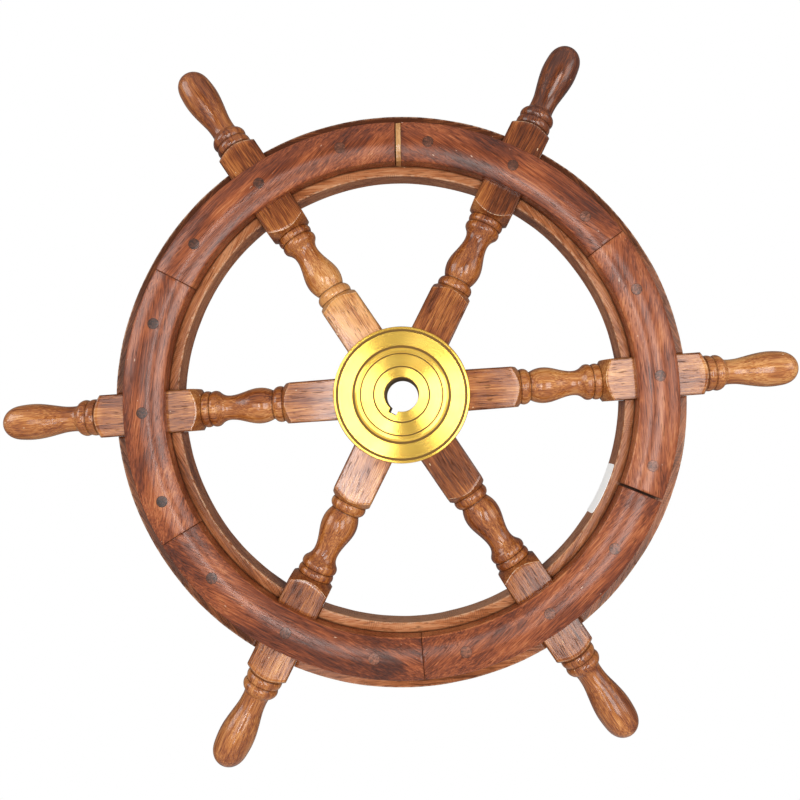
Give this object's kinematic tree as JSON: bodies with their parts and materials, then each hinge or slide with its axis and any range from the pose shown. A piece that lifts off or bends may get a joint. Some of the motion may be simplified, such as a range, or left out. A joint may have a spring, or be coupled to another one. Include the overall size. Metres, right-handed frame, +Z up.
{
  "type": "ship steering wheel",
  "caption": "Spoked wooden ship's steering wheel with turned handles, a layered rim of felloes and a keyed brass hub for a shaft.",
  "frame": {"origin": "wheel centre: on the hub axis, half way through the thickness of the rim core", "axes": "+Y along the hub axis towards the back, front faces -Y; +Z up; +X along spoke 1, so one pair of spokes is level"},
  "size_m": [0.6096, 0.064, 0.5318],
  "materials": {
    "turned_wood": "golden brown hardwood turned and varnished, semi gloss",
    "core_wood": "orange brown hardwood sawn edges under varnish",
    "facing_wood": "deep reddish brown hardwood, varnished, open pores",
    "shim_wood": "light tan wood strip, satin",
    "plug_wood": "dark end-grain wood plugs, varnished",
    "hub_brass": "lathe-turned polished brass",
    "screw_steel": "plain steel",
    "label_paper": "plain white self-adhesive label, blank"
  },
  "bodies": {
    "root": {"spoke_1": "turned_wood", "spoke_2": "turned_wood", "spoke_3": "turned_wood", "spoke_4": "turned_wood", "spoke_5": "turned_wood", "spoke_6": "turned_wood", "core_felloe_1": "core_wood", "core_felloe_2": "core_wood", "core_felloe_3": "core_wood", "core_felloe_4": "core_wood", "core_felloe_5": "core_wood", "core_felloe_6": "core_wood", "front_felloe_1": "facing_wood", "front_felloe_2": "facing_wood", "front_felloe_3": "facing_wood", "front_felloe_4": "facing_wood", "front_felloe_5": "facing_wood", "front_felloe_6": "facing_wood", "back_felloe_1": "facing_wood", "back_felloe_2": "facing_wood", "back_felloe_3": "facing_wood", "back_felloe_4": "facing_wood", "back_felloe_5": "facing_wood", "back_felloe_6": "facing_wood", "joint_shim": "shim_wood", "front_plugs": "plug_wood", "back_plugs": "plug_wood", "front_rim_screws": "screw_steel", "back_rim_screws": "screw_steel", "hub_front": "hub_brass", "hub_back": "hub_brass", "hub_screws": "hub_brass", "blank_label": "label_paper"}
  },
  "joints": []
}
